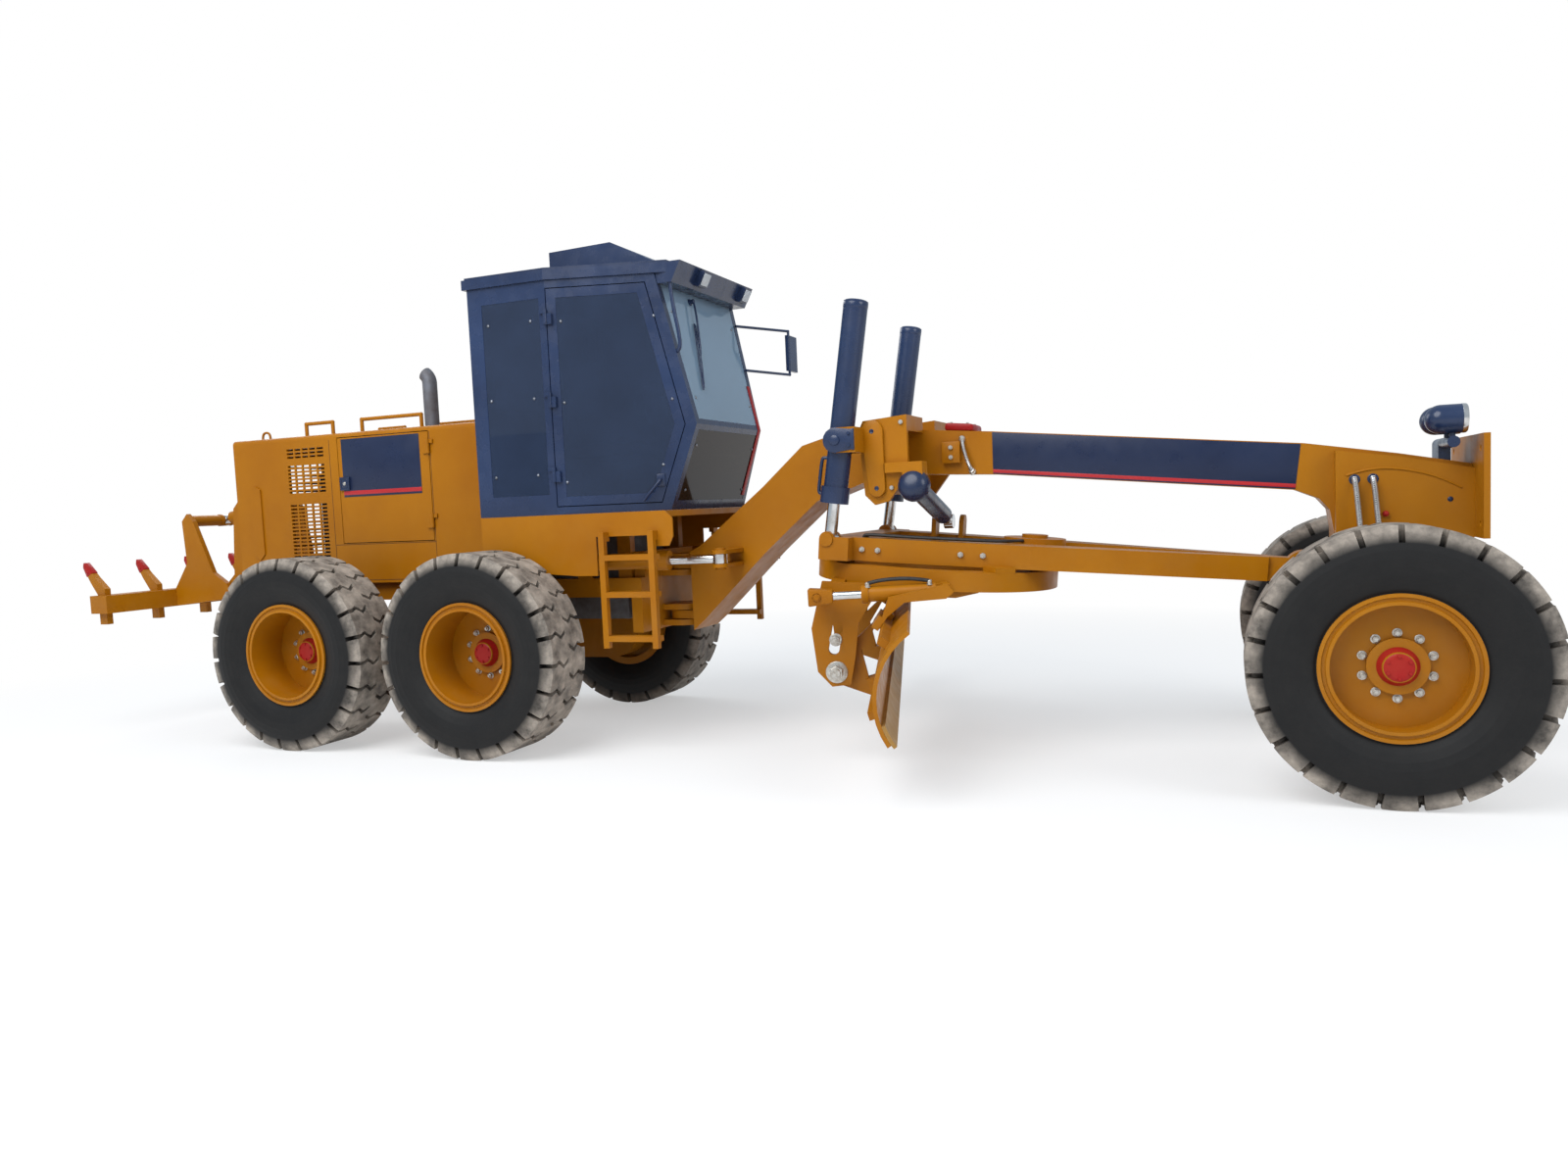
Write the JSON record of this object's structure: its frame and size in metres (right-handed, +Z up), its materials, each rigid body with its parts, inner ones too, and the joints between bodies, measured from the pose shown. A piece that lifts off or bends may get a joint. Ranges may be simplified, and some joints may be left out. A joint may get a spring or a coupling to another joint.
{
  "type": "motor grader",
  "caption": "Articulated motor grader with tandem rear wheels, enclosed cab, arched front frame, drawbar, turning circle and curved blade, and a rear ripper.",
  "frame": {"origin": "on the ground, below the middle of the machine's bounding box", "axes": "+X forward along the machine, +Y to its left, +Z up"},
  "size_m": [9.85, 3.58, 3.399],
  "materials": {
    "yellow_paint": "semi-gloss construction yellow, dusty and a little worn at edges",
    "black_paint": "semi-gloss black",
    "chrome_rod": "polished hard chrome",
    "tinted_glass": "dark tinted glass",
    "tyre_rubber": "matt black rubber with dusty lugs",
    "cast_iron": "bare casting",
    "grey_steel": "heat-dulled grey",
    "edge_steel": "worn cutting edge",
    "roof_plastic": "satin black",
    "trim_plastic": "grained dark trim",
    "hose_guard": "coiled steel guard"
  },
  "bodies": {
    "rear_frame": {"rear_frame": "yellow_paint", "engine_hood": "yellow_paint", "engine_block": "cast_iron", "exhaust_stack": "grey_steel", "rear_axle": "yellow_paint", "cab_base": "yellow_paint", "cab_frame": "black_paint", "cab_roof": "roof_plastic", "cab_glass": "tinted_glass", "operator_station": "trim_plastic", "cab_fittings": "black_paint"},
    "hood_door_left": {"hood_door_left": "yellow_paint"},
    "hood_door_right": {"hood_door_right": "yellow_paint"},
    "door_left": {"door_left": "black_paint", "door_left_glass": "tinted_glass"},
    "door_right": {"door_right": "black_paint", "door_right_glass": "tinted_glass"},
    "wheel_rear_left": {"rim_rear_left": "yellow_paint", "tyre_rear_left": "tyre_rubber"},
    "wheel_rear_right": {"rim_rear_right": "yellow_paint", "tyre_rear_right": "tyre_rubber"},
    "wheel_mid_left": {"rim_mid_left": "yellow_paint", "tyre_mid_left": "tyre_rubber"},
    "wheel_mid_right": {"rim_mid_right": "yellow_paint", "tyre_mid_right": "tyre_rubber"},
    "front_frame": {"front_frame": "yellow_paint", "lift_saddle": "yellow_paint", "front_lamps": "black_paint", "front_axle": "yellow_paint", "axle_hoses": "hose_guard", "steer_barrels": "yellow_paint"},
    "knuckle_left": {"knuckle_left": "yellow_paint"},
    "knuckle_right": {"knuckle_right": "yellow_paint"},
    "wheel_front_left": {"rim_front_left": "yellow_paint", "tyre_front_left": "tyre_rubber"},
    "wheel_front_right": {"rim_front_right": "yellow_paint", "tyre_front_right": "tyre_rubber"},
    "tie_rod": {"tie_rod": "black_paint"},
    "steer_rod_left": {"steer_rod_left": "chrome_rod"},
    "steer_rod_right": {"steer_rod_right": "chrome_rod"},
    "artic_barrel_left": {"artic_barrel_left": "yellow_paint"},
    "artic_rod_left": {"artic_rod_left": "chrome_rod"},
    "artic_barrel_right": {"artic_barrel_right": "yellow_paint"},
    "artic_rod_right": {"artic_rod_right": "chrome_rod"},
    "drawbar": {"drawbar": "yellow_paint"},
    "lift_barrels": {"lift_barrels": "black_paint"},
    "lift_rods": {"lift_rods": "chrome_rod"},
    "shift_barrel": {"shift_barrel": "black_paint"},
    "shift_rod": {"shift_rod": "chrome_rod"},
    "blade_circle": {"blade_circle": "yellow_paint"},
    "tilt_bracket": {"tilt_bracket": "yellow_paint"},
    "tip_rod": {"tip_rod": "chrome_rod"},
    "tip_barrel": {"tip_barrel": "yellow_paint"},
    "moldboard": {"moldboard": "yellow_paint", "cutting_edge": "edge_steel"},
    "ripper": {"ripper": "yellow_paint"},
    "ripper_barrel": {"ripper_barrel": "yellow_paint"},
    "ripper_rod": {"ripper_rod": "chrome_rod"}
  },
  "joints": [
    {"name": "spin_rear_left", "type": "hinge", "parent": "rear_frame", "child": "wheel_rear_left", "pos_m": [-2.5965, 1.045, 0.674], "axis": [0, 1, 0], "continuous": true},
    {"name": "spin_rear_right", "type": "hinge", "parent": "rear_frame", "child": "wheel_rear_right", "pos_m": [-2.5965, -1.045, 0.674], "axis": [0, 1, 0], "continuous": true},
    {"name": "spin_mid_left", "type": "hinge", "parent": "rear_frame", "child": "wheel_mid_left", "pos_m": [-1.0735, 1.045, 0.674], "axis": [0, 1, 0], "continuous": true},
    {"name": "spin_mid_right", "type": "hinge", "parent": "rear_frame", "child": "wheel_mid_right", "pos_m": [-1.0735, -1.045, 0.674], "axis": [0, 1, 0], "continuous": true},
    {"name": "spin_front_left", "type": "hinge", "parent": "knuckle_left", "child": "wheel_front_left", "pos_m": [4.251, 1.045, 0.674], "axis": [0, 1, 0], "continuous": true},
    {"name": "spin_front_right", "type": "hinge", "parent": "knuckle_right", "child": "wheel_front_right", "pos_m": [4.251, -1.045, 0.674], "axis": [0, 1, 0], "continuous": true},
    {"name": "door_left_swing", "type": "hinge", "parent": "rear_frame", "child": "door_left", "pos_m": [-0.585, 0.813, 2.3], "axis": [0, 0, 1], "range_deg": [0, 100]},
    {"name": "door_right_swing", "type": "hinge", "parent": "rear_frame", "child": "door_right", "pos_m": [-0.585, -0.813, 2.3], "axis": [0, 0, -1], "range_deg": [0, 100]},
    {"name": "hood_door_left_swing", "type": "hinge", "parent": "rear_frame", "child": "hood_door_left", "pos_m": [-1.835, 0.513, 1.8], "axis": [0, 0, -1], "range_deg": [0, 110]},
    {"name": "hood_door_right_swing", "type": "hinge", "parent": "rear_frame", "child": "hood_door_right", "pos_m": [-1.835, -0.513, 1.8], "axis": [0, 0, 1], "range_deg": [0, 110]},
    {"name": "articulation", "type": "hinge", "parent": "rear_frame", "child": "front_frame", "pos_m": [-0.075, 0, 1.0045], "axis": [0, 0, -1], "range_deg": [-20, 20]},
    {"name": "artic_barrel_left_pivot", "type": "hinge", "parent": "rear_frame", "child": "artic_barrel_left", "pos_m": [-0.635, 0.56, 1.232], "axis": [0, 0, -1], "range_deg": [-10, 10]},
    {"name": "artic_rod_left_slide", "type": "slide", "parent": "artic_barrel_left", "child": "artic_rod_left", "axis": [0.9946, -0.1041, 0], "range_m": [-0.19, 0.19]},
    {"name": "artic_barrel_right_pivot", "type": "hinge", "parent": "rear_frame", "child": "artic_barrel_right", "pos_m": [-0.635, -0.56, 1.232], "axis": [0, 0, -1], "range_deg": [-10, 10]},
    {"name": "artic_rod_right_slide", "type": "slide", "parent": "artic_barrel_right", "child": "artic_rod_right", "axis": [0.9946, 0.1041, 0], "range_m": [-0.19, 0.19]},
    {"name": "steer", "type": "hinge", "parent": "front_frame", "child": "knuckle_left", "pos_m": [4.251, 0.7, 0.674], "axis": [0, 0, 1], "range_deg": [-47.5, 47.5]},
    {"name": "steer_right", "type": "hinge", "parent": "front_frame", "child": "knuckle_right", "pos_m": [4.251, -0.7, 0.674], "axis": [0, 0, 1], "range_deg": [-47.5, 47.5]},
    {"name": "tie_rod_pivot", "type": "hinge", "parent": "knuckle_left", "child": "tie_rod", "pos_m": [4.031, 0.7, 0.54], "axis": [0, 0, 1], "range_deg": [-47.5, 47.5]},
    {"name": "steer_rod_left_slide", "type": "slide", "parent": "front_frame", "child": "steer_rod_left", "axis": [0, 1, 0], "range_m": [-0.115, 0.115]},
    {"name": "steer_rod_right_slide", "type": "slide", "parent": "front_frame", "child": "steer_rod_right", "axis": [0, 1, 0], "range_m": [-0.115, 0.115]},
    {"name": "drawbar_lift", "type": "hinge", "parent": "front_frame", "child": "drawbar", "pos_m": [3.912, 0, 1.068], "axis": [0, 1, 0], "range_deg": [-22, 3.5]},
    {"name": "lift_barrel_pivot", "type": "hinge", "parent": "front_frame", "child": "lift_barrels", "pos_m": [1.339, 0.62, 1.936], "axis": [0, 1, 0], "range_deg": [-9.5, 2]},
    {"name": "lift_rod_slide", "type": "slide", "parent": "lift_barrels", "child": "lift_rods", "axis": [-0.1571, 0, -0.9876], "range_m": [-0.17, 1.02]},
    {"name": "shift_barrel_pivot", "type": "hinge", "parent": "front_frame", "child": "shift_barrel", "pos_m": [1.765, -0.52, 1.64], "axis": [1, 0, 0], "range_deg": [-37, 6.5]},
    {"name": "shift_rod_slide", "type": "slide", "parent": "shift_barrel", "child": "shift_rod", "axis": [0, 0.9641, -0.2654], "range_m": [-0.085, 0.49]},
    {"name": "circle_turn", "type": "hinge", "parent": "drawbar", "child": "blade_circle", "pos_m": [1.75213, 0, 1.10639], "axis": [0.0872, 0, 0.9962], "range_deg": [-60, 30]},
    {"name": "blade_tip", "type": "hinge", "parent": "blade_circle", "child": "tilt_bracket", "pos_m": [0.96802, 0.51715, 0.58776], "axis": [-0.2578, 0.9659, 0.0226], "range_deg": [-5, 40]},
    {"name": "tip_rod_pivot", "type": "hinge", "parent": "blade_circle", "child": "tip_rod", "pos_m": [1.29008, -1.0138, 1.02334], "axis": [-0.2578, 0.9659, 0.0226], "range_deg": [-5, 33]},
    {"name": "tip_barrel_slide", "type": "slide", "parent": "tip_rod", "child": "tip_barrel", "axis": [0.9661, 0.2574, 0.021], "range_m": [-0.045, 0.3]},
    {"name": "blade_side_shift", "type": "slide", "parent": "tilt_bracket", "child": "moldboard", "axis": [-0.2578, 0.9659, 0.0226], "range_m": [-0.45, 0.45]},
    {"name": "ripper_lift", "type": "hinge", "parent": "rear_frame", "child": "ripper", "pos_m": [-4.079, 0.3, 1.058], "axis": [0, 1, 0], "range_deg": [-28, 4]},
    {"name": "ripper_barrel_pivot", "type": "hinge", "parent": "rear_frame", "child": "ripper_barrel", "pos_m": [-3.92, 0, 1.73], "axis": [0, 1, 0], "range_deg": [-15, 3]},
    {"name": "ripper_rod_slide", "type": "slide", "parent": "ripper_barrel", "child": "ripper_rod", "axis": [-0.9872, 0, -0.1595], "range_m": [-0.045, 0.295]}
  ],
  "couplings": [
    {"joint": "artic_barrel_left_pivot", "follows": "articulation", "ratio": 0.4145},
    {"joint": "artic_barrel_right_pivot", "follows": "articulation", "ratio": 0.4145},
    {"joint": "artic_rod_left_slide", "follows": "articulation", "m_per_rad": 0.496},
    {"joint": "artic_rod_right_slide", "follows": "articulation", "m_per_rad": -0.496},
    {"joint": "steer_right", "follows": "steer", "ratio": 1},
    {"joint": "tie_rod_pivot", "follows": "steer", "ratio": -1},
    {"joint": "steer_rod_left_slide", "follows": "steer", "m_per_rad": 0.1334},
    {"joint": "steer_rod_right_slide", "follows": "steer", "m_per_rad": 0.1334},
    {"joint": "lift_barrel_pivot", "follows": "drawbar_lift", "ratio": 0.405},
    {"joint": "lift_rod_slide", "follows": "drawbar_lift", "m_per_rad": -2.635},
    {"joint": "shift_barrel_pivot", "follows": "drawbar_lift", "ratio": 1.6345},
    {"joint": "shift_rod_slide", "follows": "drawbar_lift", "m_per_rad": -1.2484},
    {"joint": "tip_rod_pivot", "follows": "blade_tip", "ratio": 0.7818},
    {"joint": "tip_barrel_slide", "follows": "blade_tip", "m_per_rad": 0.4274},
    {"joint": "ripper_barrel_pivot", "follows": "ripper_lift", "ratio": 0.5},
    {"joint": "ripper_rod_slide", "follows": "ripper_lift", "m_per_rad": -0.5975}
  ]
}
